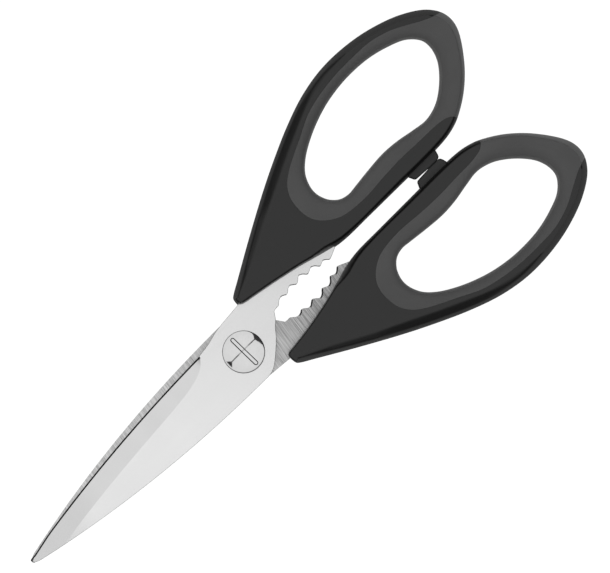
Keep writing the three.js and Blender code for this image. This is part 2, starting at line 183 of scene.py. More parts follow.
# The handle's sides: how far in from the outline each height is reached, at stations along X.
HEIGHTS = (0, 2.6, 4.6, 5.3, 5.65, 5.95, 6.2, 6.4, HANDLE_HALF)
OUTER_SIDE = {
    12: (0, 0.6, 1.18, 1.4, 1.52, 1.62, 1.75, 2.4, 3.2),
    20: (0, 0.58, 1.12, 1.35, 1.52, 2.1, 2.6, 3, 3.5),
    32: (0, 0.45, 0.98, 1.22, 1.85, 2.4, 2.85, 3.25, 3.8),
    38: (0, 0.55, 1.25, 2.05, 2.48, 2.9, 3.28, 3.66, 4.2),
    44: (0, 0.52, 1.2, 2.1, 2.6, 3.05, 3.45, 3.85, 4.35),
    58: (0, 0.52, 1.18, 2.05, 2.5, 2.92, 3.28, 3.62, 4.1),
    66: (0, 0.5, 1, 1.65, 2.1, 2.5, 2.85, 3.15, 3.6),
    74: (0, 0.55, 1.1, 1.37, 1.6, 2.05, 2.55, 3.03, 3.55),
    80: (0, 0.6, 1.15, 1.4, 1.58, 1.85, 2.3, 2.7, 3.1),
    88: (0, 0.7, 1.4, 1.68, 1.81, 1.92, 2.02, 2.1, 2.25),
}
JAW_SIDE = {
    9: (0, 1.2, 1.3, 1.4, 1.46, 1.55, 1.7, 1.95, 2.4),
    12: (0, 0.75, 0.85, 0.93, 1, 1.1, 1.25, 1.5, 1.9),
    18: (0, 0.42, 0.54, 0.63, 0.7, 0.8, 0.95, 1.2, 1.6),
    26: (0, 0.22, 0.34, 0.44, 0.53, 0.64, 0.8, 1.05, 1.4),
    36: (0, 0.22, 0.45, 0.6, 0.7, 0.82, 0.97, 1.2, 1.5),
    41: (0, 0.36, 1, 1.28, 1.46, 1.6, 1.76, 1.95, 2.3),
    47: (0, 0.18, 0.58, 0.8, 0.95, 1.09, 1.26, 1.48, 1.8),
    56: (0, 0.15, 0.36, 0.52, 0.62, 0.72, 0.84, 1.05, 1.3),
    74: (0, 0.2, 0.47, 0.69, 0.81, 0.93, 1.08, 1.35, 1.62),
}
# On the face away from the blade the nose stands nearly upright.
NOSE_BACK = (0, 0.03, 0.08, 0.14, 0.19, 0.25, 0.33, 0.45, 0.7)
BOW_SIDE = (0, 0.12, 0.4, 0.7, 0.95, 1.3, 1.75, 2.5, 3.3)
BOW_SLOPE = (0, 0.2, 0.85, 1.6, 2.1, 2.6, 3.1, 3.7, 4.4)

# The kinds of a closed solid's faces, and the materials of a blade's faces.
TOP, BOTTOM, SIDE = range(3)
OUTER, BEVEL, INNER, HONE, STAMPED = range(5)


# ---- Curves -------------------------------------------------------------------------------------


def smoothstep(value, low, high):
    share = np.clip((value - low) / (high - low), 0, 1)
    return share * share * (3 - 2 * share)


def spline(points, closed=True, samples=40):
    """Dense centripetal Catmull-Rom curve through the points."""
    p = np.asarray(points, float)
    if closed:
        p = np.vstack([p[-1], p, p[:2]])
    else:
        p = np.vstack([2 * p[0] - p[1], p, 2 * p[-1] - p[-2]])
    t = np.linspace(0, 1, samples, endpoint=False)[:, None]
    pieces = []
    for a, b, c, d in zip(p, p[1:], p[2:], p[3:]):
        ab, bc, cd = (math.sqrt(np.linalg.norm(s)) for s in (b - a, c - b, d - c))
        start = ((b - a) / ab - (c - a) / (ab + bc) + (c - b) / bc) * bc
        end = ((c - b) / bc - (d - b) / (bc + cd) + (d - c) / cd) * bc
        bend = -3 * b + 3 * c - 2 * start - end
        pieces.append(b + start * t + bend * t**2 + (2 * b - 2 * c + start + end) * t**3)
    curve = np.vstack(pieces)
    return curve if closed else np.vstack([curve, points[-1]])


def resampled(curve, tolerance=0.004, finest=0.12, coarsest=1.0):
    """The dense closed curve with steps as long as its bends allow."""
    ends = np.vstack([curve, curve[:1]])
    steps = np.linalg.norm(np.diff(ends, axis=0), axis=1)
    reach = np.concatenate([[0], np.cumsum(steps)])
    count = int(reach[-1] / 0.05)
    even = np.linspace(0, reach[-1], count + 1)
    x, y = (np.interp(even, reach, ends[:, k]) for k in (0, 1))
    heading = np.unwrap(np.arctan2(np.gradient(y), np.gradient(x)))
    bend = np.abs(np.gradient(heading, even))
    window = np.ones(9) / 9
    bend = np.convolve(np.pad(bend, 4, mode="wrap"), window, mode="valid")
    step = np.clip(np.sqrt(8 * tolerance / np.maximum(bend, 1e-6)), finest, coarsest)
    density = np.concatenate([[0], np.cumsum(np.diff(even) / ((step[1:] + step[:-1]) / 2))])
    wanted = np.linspace(0, density[-1], max(8, math.ceil(density[-1])) + 1)
    at = np.interp(wanted, density, even)
    return np.column_stack([np.interp(at, even, x), np.interp(at, even, y)])[:-1]


def loop_through(points):
    """A smooth anticlockwise loop through the points."""
    loop = resampled(spline(points))
    return loop if signed_area(loop) > 0 else loop[::-1]


def signed_area(loop):
    x, y = loop.T
    return 0.5 * np.sum(x * np.roll(y, -1) - np.roll(x, -1) * y)


def circle(radius, sides):
    turn = np.linspace(0, 2 * math.pi, sides, endpoint=False)
    return radius * np.column_stack([np.cos(turn), np.sin(turn)])


def outward_normals(loop):
    along = np.roll(loop, -1, axis=0) - np.roll(loop, 1, axis=0)
    along /= np.linalg.norm(along, axis=1)[:, None]
    return np.column_stack([along[:, 1], -along[:, 0]])


def distance_to(line, points, closed=True):
    """Each point's distance to the line, and the place of its nearest point as index plus share."""
    a = line if closed else line[:-1]
    b = np.roll(line, -1, axis=0) if closed else line[1:]
    ab = b - a
    square = np.maximum(np.sum(ab * ab, axis=1), 1e-12)
    distances, places = [], []
    for some in np.array_split(points, max(1, len(points) // 1500)):
        ap = some[:, None, :] - a[None]
        share = np.clip(np.sum(ap * ab, axis=2) / square, 0, 1)
        gap = np.linalg.norm(ap - share[..., None] * ab, axis=2)
        nearest = np.argmin(gap, axis=1)
        rows = np.arange(len(some))
        distances.append(gap[rows, nearest])
        places.append(nearest + share[rows, nearest])
    return np.concatenate(distances), np.concatenate(places)


def value_at(values, places):
    """A closed loop's per-point values at places between its points."""
    low = np.floor(places).astype(int)
    share = (places - low).reshape((-1,) + (1,) * (values.ndim - 1))
    return values[low % len(values)] * (1 - share) + values[(low + 1) % len(values)] * share


def inside(loop, points):
    x, y = points.T
    crossings = np.zeros(len(points), bool)
    for (ax, ay), (bx, by) in zip(loop, np.roll(loop, -1, axis=0)):
        if ay != by:
            straddles = (ay > y) != (by > y)
            crossings ^= straddles & (x < ax + (y - ay) * (bx - ax) / (by - ay))
    return crossings


# ---- Sheets: flat triangulated regions that a height lifts into surfaces ------------------------


class Sheet:
    """Points and faces of a flat region. Close rows follow its rims, and a Delaunay mesh fills the
    rest."""

    def __init__(self, rims, strips, rows, grid, lines=(), line_rows=()):
        """rims: the outer loop, then holes. strips: insets joined by strips of quads, from 0.
        rows: further insets. grid: the spacing beyond them. lines: open or closed polylines to
        follow, as (points, closed). line_rows: the distances of the rows beside them."""
        self.rims = rims
        self.faces = []
        blocks = []
        start = 0
        last_rows = []
        for number, rim in enumerate(rims):
            inward = outward_normals(rim) * (-1 if number == 0 else 1)
            count = len(rim)
            insets = [rim + inward * inset for inset in strips]
            for k in range(len(strips) - 1):
                for i in range(count):
                    j = (i + 1) % count
                    quad = (start + i, start + j, start + count + j, start + count + i)
                    self.faces.append(quad if number == 0 else quad[::-1])
                blocks.append(insets[k])
                start += count
            last_rows.append((start, insets[-1]))
            blocks.append(insets[-1])
            start += count
        strip_end = start
        anchors = np.vstack(blocks)

        coords = []
        edges = []
        owners = []
        for first, row in last_rows:
            base = len(coords)
            coords.extend(row)
            owners.extend(range(first, first + len(row)))
            edges.extend((base + i, base + (i + 1) % len(row)) for i in range(len(row)))
        for points, closed in lines:
            base = len(coords)
            coords.extend(points)
            owners.extend([-1] * len(points))
            count = len(points)
            last = count if closed else count - 1
            edges.extend((base + i, base + (i + 1) % count) for i in range(last))

        free = self.free_points(rims, strips[-1], rows, grid, lines, line_rows, coords)
        coords = np.vstack([coords, free]) if len(free) else np.array(coords)
        owners.extend([-1] * len(free))

        result = delaunay_2d_cdt([Vector(c) for c in coords], edges, [], 0, 1e-5)
        out, _, triangles, origins, _, _ = result
        out = np.array([tuple(c) for c in out])
        place = np.empty(len(out), int)
        added = []
        for i, sources in enumerate(origins):
            owner = max([owners[s] for s in sources if s < len(owners)], default=-1)
            if owner < 0:
                owner = strip_end + len(added)
                added.append(out[i])
            place[i] = owner
        triangles = np.array(triangles)
        centres = out[triangles].mean(axis=1)
        keep = inside(last_rows[0][1], centres)
        for _, row in last_rows[1:]:
            keep &= ~inside(row, centres)
        self.faces.extend(tuple(place[t]) for t in triangles[keep])
        self.points = np.vstack([anchors, added]) if added else anchors

    @staticmethod
    def free_points(rims, edge, rows, grid, lines, line_rows, taken):
        batches = []
        for points, closed in lines:
            normals = outward_normals(points) if closed else line_normals(points)
            for away in line_rows:
                batches.append((points + normals * away, 0.5 * away))
                batches.append((points - normals * away, 0.5 * away))
        for number, rim in enumerate(rims):
            inward = outward_normals(rim) * (-1 if number == 0 else 1)
            for inset in rows:
                row = rim + inward * inset
                true = distance_to(rim, row)[0]
                batches.append((row[true > inset - 0.04], 0.1 * (inset - edge) + 0.05))
        low, high = rims[0].min(axis=0), rims[0].max(axis=0)
        rise = grid * math.sqrt(3) / 2
        lattice = [
            (x + (k % 2) * grid / 2, y)
            for k, y in enumerate(np.arange(low[1], high[1], rise))
            for x in np.arange(low[0], high[0], grid)
        ]
        batches.append((np.array(lattice), grid * 0.6))

        accepted = [tuple(c) for c in taken]
        fixed = len(accepted)
        for points, spacing in batches:
            if not len(points):
                continue
            clear = inside(rims[0], points)
            for number, rim in enumerate(rims):
                if number:
                    clear &= ~inside(rim, points)
                clear &= distance_to(rim, points)[0] > edge + 0.05
            tree = kdtree.KDTree(len(accepted))
            for i, (x, y) in enumerate(accepted):
                tree.insert((x, y, 0), i)
            tree.balance()
            for x, y in points[clear]:
                if tree.find((x, y, 0))[2] > spacing:
                    accepted.append((x, y))
        return np.array(accepted[fixed:])


def line_normals(points):
    along = np.gradient(points, axis=0)
    along /= np.linalg.norm(along, axis=1)[:, None]
    return np.column_stack([along[:, 1], -along[:, 0]])


def closed_solid(points, faces, top, bottom):
    """Vertices and faces of the solid between two heights over the same flat faces, and each
    face's kind."""
    used = np.unique(np.concatenate([np.array(f) for f in faces]))
    renumber = {old: new for new, old in enumerate(used)}
    flat, high, low = points[used], top[used], bottom[used]
    below = np.arange(len(used)) + len(used)
    joined = high - low < 1e-4
    below[joined] = np.arange(len(used))[joined]
    vertices = np.vstack([np.column_stack([flat, high]), np.column_stack([flat, low])])
    top_faces = [tuple(renumber[v] for v in face) for face in faces]
    bottom_faces = [tuple(below[v] for v in reversed(face)) for face in top_faces]
    open_edges = {}
    for face in top_faces:
        for a, b in zip(face, face[1:] + face[:1]):
            if (b, a) in open_edges:
                del open_edges[(b, a)]
            else:
                open_edges[(a, b)] = True
    side_faces = []
    for a, b in open_edges:
        ring = []
        for v in (b, a, below[a], below[b]):
            if v not in ring:
                ring.append(v)
        if len(ring) > 2:
            side_faces.append(tuple(ring))
    kinds = [TOP] * len(top_faces) + [BOTTOM] * len(bottom_faces) + [SIDE] * len(side_faces)
    return vertices, top_faces + bottom_faces + side_faces, kinds


# ---- Pieces -------------------------------------------------------------------------------------


def placed(vertices, side):
    """Millimetres about the pivot, in metres in the frame."""
    v = np.array(vertices, float)
    if side == "back":
        v = v * (1, -1, -1)
    return v * MM + np.array(PIVOT)


def make_piece(node, side, solid, materials, of_faces=None, smooth=35):
    """A mesh piece that replaces a CAD node and rides on its half. solid holds the vertices and
    faces, and of_faces each face's place among the materials."""
    vertices, faces = solid
    name = f"fine_{node}"
    mesh = bpy.data.meshes.new(name)
    corners = [tuple(v) for v in placed(vertices, side)]
    mesh.from_pydata(corners, [], [tuple(int(i) for i in face) for face in faces])
    for material in materials:
        mesh.materials.append(material)
    if of_faces is not None:
        mesh.polygons.foreach_set("material_index", np.array(of_faces, dtype=np.int32))
    mesh.validate()
    mesh.update()
    mesh.shade_smooth()
    mesh.set_sharp_from_angle(angle=math.radians(smooth))
    piece = bpy.data.objects.new(name, mesh)
    bpy.context.scene.collection.objects.link(piece)
    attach(piece, BODIES.get(side, PIVOT_BODY))
    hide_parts(node)


def insets_at(stations, x):
    """A side's insets at each x."""
    columns = np.array(list(stations.values())).T
    return np.column_stack([np.interp(x, list(stations), column) for column in columns])


def risen(insets, away):
    """The height that each point's own insets give at its distance from the outline, with eased
    corners."""
    total = np.zeros(len(away))
    for shift, part in ((-0.05, 0.25), (0, 0.5), (0.05, 0.25)):
        for k in range(1, len(HEIGHTS)):
            low, high = insets[:, k - 1], insets[:, k]
            share = np.clip((away + shift - low) / (high - low), 0, 1)
            total += part * share * (HEIGHTS[k] - HEIGHTS[k - 1])
    return total


def seam_across(seam, shelf):
    """The part of the seam inside the shelf, carried on to it at both ends, and the places on the
    shelf that the ends reach."""
    kept = inside(shelf, seam) & (distance_to(shelf, seam)[0] > 0.5)
    first = int(np.nonzero(kept & ~np.roll(kept, 1))[0][0])
    seam = np.roll(seam, -first, axis=0)[: int(kept.sum())]
    ends = []
    for end, way in ((seam[0], seam[0] - seam[3]), (seam[-1], seam[-1] - seam[-4])):
        way = way / np.linalg.norm(way)
        to = shelf - end
        ahead = to @ way > 0
        off = np.abs(to[:, 0] * way[1] - to[:, 1] * way[0])
        near = np.linalg.norm(to, axis=1) < 3
        ends.append(int(np.argmin(np.where(ahead & near, off, 1e9))))
    return np.vstack([shelf[ends[0]], seam, shelf[ends[1]]]), ends


def rim_behind(rim, ends):
    """The rim from the seam's last end round the rear of the bow to its first end."""
    low, high = sorted(ends)
    span = rim[low : high + 1]
    if span[:, 0].mean() < 100:
        span = np.vstack([rim[high:], rim[: low + 1]])
    if np.linalg.norm(span[0] - rim[ends[1]]) > 1e-9:
        span = span[::-1]
    return span


def handle_sheet():
    """The whole handle's flat faces, which of them lie under the soft grip, and its heights above
    and below the parting line."""
    rim = loop_through(HANDLE)
    opening = loop_through(BOW)
    shelf = rim - outward_normals(rim) * HANDLE_STRIPS[-1]
    seam, ends = seam_across(loop_through(SEAM), shelf)
    lines = [(seam, False)]
    sheet = Sheet([rim, opening], HANDLE_STRIPS, HANDLE_ROWS, HANDLE_GRID, lines, (0.1, 0.26))
    centres = np.array([sheet.points[list(face)].mean(axis=0) for face in sheet.faces])
    soft = inside(np.vstack([seam, rim_behind(rim, ends)]), centres)

    away, place = distance_to(rim, sheet.points)
    bow_away, bow_place = distance_to(opening, sheet.points)
    x, y = rim.T
    normal_x, normal_y = outward_normals(rim).T
    outer = smoothstep(normal_y + 0.8 * normal_x, -0.5, 0.6)[:, None]
    outer_side = insets_at(OUTER_SIDE, x)
    jaw_side = insets_at(JAW_SIDE, x)
    # The nose's corner is cut back only beside the jaw.
    jaw_side += smoothstep(y, 10.6, 12.3)[:, None] * (np.array(JAW_SIDE[56]) - jaw_side)
    back_side = jaw_side + (1 - smoothstep(x, 33, 39))[:, None] * (np.array(NOSE_BACK) - jaw_side)

    x, y = opening.T
    sloping = smoothstep(x, 88, 100) * (1 - smoothstep(y, 22, 34)) + 0.45 * smoothstep(y, 28, 36)
    bow_side = np.array(BOW_SIDE) + sloping[:, None] * (np.array(BOW_SLOPE) - BOW_SIDE)
    fall = HANDLE_HALF - risen(value_at(bow_side, bow_place), bow_away)

    groove_line = np.vstack([rim[ends[0]], seam, rim[ends[1]]])
    from_seam, _ = distance_to(groove_line, sheet.points, closed=False)
    groove = SEAM_DEEP * np.clip(1 - from_seam / SEAM_WIDE, 0, 1) ** 2
    on_rim = (away < 1e-6) | (bow_away < 1e-6)
    heights = []
    for side in (jaw_side, back_side):
        side = side * (1 - outer) + outer_side * outer
        height = np.maximum(risen(value_at(side, place), away) - fall - groove, 0)
        heights.append(np.where(on_rim, 0, height))
    return sheet, soft, heights


def handles(hard, soft_material):
    sheet, soft, (top, bottom) = handle_sheet()
    parts = (
        ("handle_shell", ~soft, hard, "hard_shell"),
        ("soft_grip", soft, soft_material, "soft_grip"),
    )
    for part, chosen, material, slot in parts:
        faces = [face for face, wanted in zip(sheet.faces, chosen) if wanted]
        solid = closed_solid(sheet.points, faces, top, -bottom)[:2]
        for side in BODIES:
            make_piece(f"{side}_{part}", side, solid, [material], smooth=50)


# ---- Blades -------------------------------------------------------------------------------------


def spine_at(x):
    return -SPINE_DEPTH + SPINE_BEND * np.abs(x) ** BEND_POWER


def edge_at(x):
    """The cutting edge, which the point's grinding draws back over its last few millimetres."""
    ground = POINT_GROUND * smoothstep(np.abs(x), POINT_FROM, POINT_TO)
    return EDGE_DEPTH - EDGE_BEND * np.abs(x) ** BEND_POWER - ground


def bevel_at(x):
    """Width of the ground bevel, which opens in a curve from its heel and flares at the point."""
    along = np.clip(-x - BEVEL_START, 0, None)
    opened = BEVEL_WIDE * (1 - np.exp(-(along / BEVEL_OPENS) ** BEVEL_CURVE))
    return opened + FLARE_WIDE * smoothstep(-x, FLARE_FROM, FLARE_TO)


def blade_rim():
    """The blade's outline, and how much of the jaw's chamfer each of its points has."""
    ahead = OUTLINE_END - (OUTLINE_END - BEVEL_START) * np.linspace(0, 1, 75) ** 1.3
    spine = np.column_stack([-ahead, spine_at(ahead)])
    rear_x = np.arange(1 - BEVEL_START, 0, 1.0)
    rear_spine = np.column_stack([rear_x, spine_at(rear_x)])
    shoulder = spline(SHOULDER, closed=False, samples=5)
    throat = spline(THROAT, closed=False, samples=6)
    jaw = spline(JAW, closed=False, samples=7)
    heel = spline(HEEL, closed=False, samples=6)
    back = ahead[::-1]
    edge = np.column_stack([-back, edge_at(back)])
    point = spline([edge[-1], *POINT, spine[0]], closed=False, samples=6)[1:-1]
    runs = [spine, rear_spine, shoulder, throat[1:], jaw, TANG, heel, edge, point]
    rim = np.vstack(runs)
    in_jaw = np.concatenate([np.full(len(run), run is jaw) for run in runs])
    clear = np.linalg.norm(rim - np.roll(rim, 1, axis=0), axis=1) > 0.02
    rim, in_jaw = rim[clear], in_jaw[clear]
    return rim, in_jaw * smoothstep(-outward_normals(rim)[:, 0], -0.3, 0.4)


def blade_sheet():
    rim, chamfered = blade_rim()
    hole = circle(PIVOT_HOLE_R, 72)
    x = -BEVEL_START - 72 * np.linspace(0, 1, 100) ** 2
    crease = np.column_stack([x, edge_at(x) - bevel_at(x)])
    clear = (bevel_at(x) > HONE_WIDE + 0.12) & (crease[:, 1] > spine_at(x) + HONE_WIDE + 0.1)
    rows = (0, STAMPED_EDGE, 0.25, HONE_WIDE)
    return Sheet([rim, hole], rows, (0.8, 1.3), 2.0, [(crease[clear], False)]), chamfered


def blade_material(kind, x, y):
    """The material of a blade's face of this kind with its centre at x, y."""
    on_blade = x < -BEVEL_START
    edge_gap = edge_at(x) - y
    if kind == BOTTOM:
        return INNER
    if on_blade and edge_gap < HONE_WIDE:
        return HONE
    if kind == SIDE:
        return STAMPED
    return BEVEL if on_blade and edge_gap < bevel_at(x) else OUTER


def blades(materials):
    sheet, chamfered = blade_sheet()
    x, y = sheet.points.T
    edge_gap = edge_at(x) - y
    on_blade = x < -BEVEL_START
    slope = (BLADE_THICK - EDGE_THICK) / BEVEL_WIDE
    bevelled = np.minimum(BLADE_FACE, BLADE_FACE - slope * (bevel_at(x) - edge_gap))
    top = np.where(on_blade, bevelled, BLADE_FACE)
    away, place = distance_to(sheet.rims[0], sheet.points)
    honing = on_blade & (edge_gap < HONE_WIDE + 0.3) & (away < HONE_WIDE)
    honed = (EDGE_THICK - HONED_THICK) * np.clip(1 - away / HONE_WIDE, 0, 1)
    deburred = STAMPED_EDGE * np.clip(1 - away / STAMPED_EDGE, 0, 1)
    in_jaw = value_at(chamfered, place)
    outer_chamfer = in_jaw * np.clip(JAW_OUTER_CHAMFER - away, 0, None)
    inner_chamfer = in_jaw * np.clip(JAW_CHAMFER - away, 0, None)
    top -= np.where(honing, honed, np.maximum(deburred, outer_chamfer))
    bottom = BLADE_GAP + np.where(on_blade, 0, inner_chamfer)
    top = np.maximum(top, bottom + THINNEST)
    vertices, faces, kinds = closed_solid(sheet.points, sheet.faces, top, bottom)
    centres = [np.mean([vertices[i] for i in face], axis=0) for face in faces]
    of_faces = [blade_material(kind, x, y) for kind, (x, y, _) in zip(kinds, centres)]
    for side in BODIES:
        make_piece(f"{side}_blade", side, (vertices, faces), materials, of_faces,
                   smooth=14)


# ---- Turned and small pieces --------------------------------------------------------------------


def revolved(profile, sides=96):
    """Vertices and faces of a closed profile of radius and height, anticlockwise, turned about the
    pivot's axis."""
    turn = np.linspace(0, 2 * math.pi, sides, endpoint=False)
    vertices = [(r * math.cos(t), r * math.sin(t), z) for r, z in profile for t in turn]
    count = len(profile)
    faces = [
        (k * sides + i, k * sides + (i + 1) % sides,
         (k + 1) % count * sides + (i + 1) % sides, (k + 1) % count * sides + i)
        for k in range(count) for i in range(sides)
    ]
    return vertices, faces


def stadium(low, high, middle, wide, steps=14):
    """A slot's outline along Y with round ends."""
    half = wide / 2
    turn = np.linspace(0, math.pi, steps)
    end = half * np.column_stack([np.cos(turn), np.sin(turn)])
    straight = np.linspace(high - half, low + half, 13)[1:-1]
    left = np.column_stack([np.full(11, -half), straight])
    right = np.column_stack([np.full(11, half), straight[::-1]])
    outline = np.vstack([end + (0, high - half), left, -end + (0, low + half), right])
    outline[:, 0] += middle + SLOT_TURN * outline[:, 1]
    return outline


def pivot_screw():
    """The screw's solid, and for each face whether it is a wall of the slot."""
    under = BLADE_FACE + RUNNING
    crown = under + HEAD_HIGH
    slot = stadium(SLOT_FROM, SLOT_TO, SLOT_MIDDLE, SLOT_WIDE)
    floor_wide = SLOT_WIDE - 2 * SLOT_WALL
    floor = stadium(SLOT_FROM + SLOT_WALL, SLOT_TO - SLOT_WALL, SLOT_MIDDLE, floor_wide)
    lines = [(slot, True), (floor, True)]
    sheet = Sheet([circle(HEAD_R, 128)], (0, 0.08, 0.2), (0.4, 0.8), 0.7, lines, (0.12,))
    radius = np.linalg.norm(sheet.points, axis=1)
    top = crown - (HEAD_HIGH - HEAD_RIM) * (radius / HEAD_R) ** 2
    top -= HEAD_ROUND * np.clip(1 - (HEAD_R - radius) / HEAD_ROUND_WIDE, 0, 1) ** 2
    lip, _ = distance_to(slot, sheet.points)
    cut = inside(slot, sheet.points) * np.clip(lip / SLOT_WALL, 0, 1)
    top -= SLOT_DEEP * cut
    vertices, faces, kinds = closed_solid(sheet.points, sheet.faces, top, np.full(len(top), under))
    cut_of = np.concatenate([cut, np.zeros(len(vertices) - len(cut))])
    depths = [np.mean([cut_of[i] for i in face]) for face in faces]
    walls = [int(kind == TOP and 0.05 < depth < 0.95) for kind, depth in zip(kinds, depths)]

    neck_end = -BLADE_FACE - SPRING_HIGH - 2 * RUNNING
    end = neck_end - NUT_HIGH + 0.3
    buried = under + 0.1
    neck, neck_faces = revolved([
        (AXIS_R, end), (THREAD_R - THREAD_CHAMFER, end), (THREAD_R, end + THREAD_CHAMFER),
        (THREAD_R, neck_end), (NECK_R, neck_end + RUNNING), (NECK_R, buried), (AXIS_R, buried),
    ])
    offset = len(vertices)
    faces = faces + [tuple(offset + i for i in face) for face in neck_faces]
    return (np.vstack([vertices, neck]), faces), walls + [0] * len(neck_faces)


def buffer_solid():
    rim = []
    for a, b in zip(BUFFER, BUFFER[1:] + BUFFER[:1]):
        count = max(1, int(math.dist(a, b) / 0.6))
        for i in range(count):
            rim.append((a[0] + (b[0] - a[0]) * i / count, a[1] + (b[1] - a[1]) * i / count))
    rim = np.array(rim)
    sheet = Sheet([rim], (0, 0.12, BUFFER_EASE), (0.8,), 1.2)
    away, _ = distance_to(rim, sheet.points)
    height = BUFFER_HALF - BUFFER_EASE * np.clip(1 - away / BUFFER_EASE, 0, 1) ** 1.6
    return closed_solid(sheet.points, sheet.faces, height, -height)[:2]


def small_pieces(pivot_steel, slot_shade_steel, spring_steel, nylon, rubber):
    solid, walls = pivot_screw()
    make_piece("pivot_screw", "pivot", solid, [pivot_steel, slot_shade_steel], walls,
               smooth=30)

    face = -BLADE_FACE - SPRING_HIGH - 2 * RUNNING
    back = face - NUT_HIGH
    bore = THREAD_R + RUNNING
    nut = revolved([
        (bore, back + 0.2), (bore + 0.2, back), (NUT_R - 1.9, back), (NUT_R - 1.4, back + 0.06),
        (NUT_R - 0.3, face - 0.85), (NUT_R - 0.08, face - 0.7), (NUT_R, face - 0.5),
        (NUT_R, face - 0.15), (NUT_R - 0.1, face - RUNNING), (bore, face - RUNNING),
    ])
    make_piece("pivot_nut", "pivot", nut, [pivot_steel], smooth=40)

    low = -BLADE_FACE - RUNNING - SPRING_HIGH
    high = -BLADE_FACE - RUNNING
    spring = revolved([
        (PIVOT_HOLE_R, low), (WASHER_R + 0.2, high - SPRING_THICK), (WASHER_R + 0.2, high),
        (PIVOT_HOLE_R, low + SPRING_THICK),
    ])
    make_piece("disc_spring", "pivot", spring, [spring_steel])

    half = WASHER_THICK / 2
    washer = revolved([
        (PIVOT_HOLE_R, -half), (WASHER_R, -half), (WASHER_R, half), (PIVOT_HOLE_R, half),
    ])
    make_piece("friction_washer", "pivot", washer, [nylon])

    buffer = buffer_solid()
    for side in BODIES:
        make_piece(f"{side}_stop_buffer", side, buffer, [rubber], smooth=40)


# ---- Materials ----------------------------------------------------------------------------------


def new_node(tree, kind, inputs, **settings):
    """A node whose inputs are each set to their number, or linked from their socket."""
    node = tree.nodes.new(kind)
    for name, value in settings.items():
        setattr(node, name, value)
    for name, value in inputs.items():
        if isinstance(value, bpy.types.NodeSocket):
            tree.links.new(value, node.inputs[name])
        else:
            node.inputs[name].default_value = value
    return node


def math_node(tree, operation, *values):
    inputs = dict(enumerate(values))
    return new_node(tree, "ShaderNodeMath", inputs, operation=operation).outputs["Value"]


def map_range(tree, value, start, end, low, high, curve="LINEAR"):
    """low where the value is at its start or before it, and high from its end on."""
    inputs = {"Value": value, "From Min": start, "From Max": end, "To Min": low, "To Max": high}
    node = new_node(tree, "ShaderNodeMapRange", inputs, interpolation_type=curve)
    return node.outputs["Result"]


class Surface:
    """A Principled material whose colour, roughness and relief come from stretched noise."""

    def __init__(self, name, metallic, **sockets):
        self.material = bpy.data.materials.new(name)
        self.material.use_nodes = True
        self.tree = self.material.node_tree
        self.shader = self.tree.nodes["Principled BSDF"]
        self.shader.inputs["Metallic"].default_value = metallic
        for socket, value in sockets.items():
            self.shader.inputs[socket.replace("_", " ")].default_value = value
        self.coordinates = self.tree.nodes.new("ShaderNodeTexCoord").outputs["Object"]

    def noise(self, scale, turn=0.0, detail=2.0, seed=0.0):
        """Noise with its own scale, per metre, along each turned axis."""
        inputs = {"Vector": self.coordinates, "Rotation": (0, 0, -turn)}
        turned = new_node(self.tree, "ShaderNodeMapping", inputs).outputs["Vector"]
        inputs = {"Vector": turned, "Scale": scale, "Location": (seed, seed, seed)}
        scaled = new_node(self.tree, "ShaderNodeMapping", inputs).outputs["Vector"]
        inputs = {"Vector": scaled, "Scale": 1.0, "Detail": detail}
        return new_node(self.tree, "ShaderNodeTexNoise", inputs).outputs["Fac"]

    def ranged(self, noise, low, high):
        """The noise's usual span, moved to a span of its own."""
        return map_range(self.tree, noise, 0.3, 0.7, low, high)

    def along_x(self, start, end, low, high):
        """low up to a start along X, and high from an end on."""
        split = new_node(self.tree, "ShaderNodeSeparateXYZ", {"Vector": self.coordinates})
        return map_range(self.tree, split.outputs["X"], start, end, low, high)

    def sum(self, first, second):
        return math_node(self.tree, "ADD", first, second)

    def grey(self, value):
        """A grey colour from a linear value."""
        channels = {"Red": value, "Green": value, "Blue": value}
        node = new_node(self.tree, "ShaderNodeCombineColor", channels)
        self.tree.links.new(node.outputs["Color"], self.shader.inputs["Base Color"])

    def roughness(self, value):
        self.tree.links.new(value, self.shader.inputs["Roughness"])

    def relief(self, value, strength, height):
        inputs = {"Strength": strength, "Distance": height, "Height": value}
        node = new_node(self.tree, "ShaderNodeBump", inputs)
        self.tree.links.new(node.outputs["Normal"], self.shader.inputs["Normal"])


# Places along X, in metres, between which the ground steel's grey fades towards the handles. This
# fade is painted shading, not a colour of the steel.
PAINTED_SHADE_FROM = -0.045
PAINTED_SHADE_TO = 0.016
GRAIN_HIGH = 0.00001
TEXTURE_HIGH = 0.00003


def steel(name, grain, tones, added, cloud_scale=(45, 60, 60), cloud_depth=0.012,
          rough=(0.2, 0.26), relief=0.06):
    """Ground steel. grain: the noise's scale along each axis, and its turn about Z. tones: the grey
    ahead of the pivot, the grey at the handles, and the grain's depth; the fade between them is
    painted shading, not a colour of the steel. added: a tone of painted shade or light that is
    added up to one place along X, and gone at another."""
    surface = Surface(name, 1.0)
    scale, turn = grain
    ahead, behind, depth = tones
    extra, extra_to, extra_gone = added
    lines = surface.noise(scale, turn=turn, detail=3)
    cloud = surface.noise(cloud_scale, turn=turn, seed=3)
    painted_fade = surface.along_x(PAINTED_SHADE_FROM, PAINTED_SHADE_TO, ahead, behind)
    tone = surface.sum(painted_fade, surface.ranged(lines, -depth, depth))
    tone = surface.sum(tone, surface.along_x(extra_to, extra_gone, extra, 0))
    surface.grey(surface.sum(tone, surface.ranged(cloud, -cloud_depth, cloud_depth)))
    surface.roughness(surface.ranged(lines, *rough))
    surface.relief(lines, relief, GRAIN_HIGH)
    return surface.material


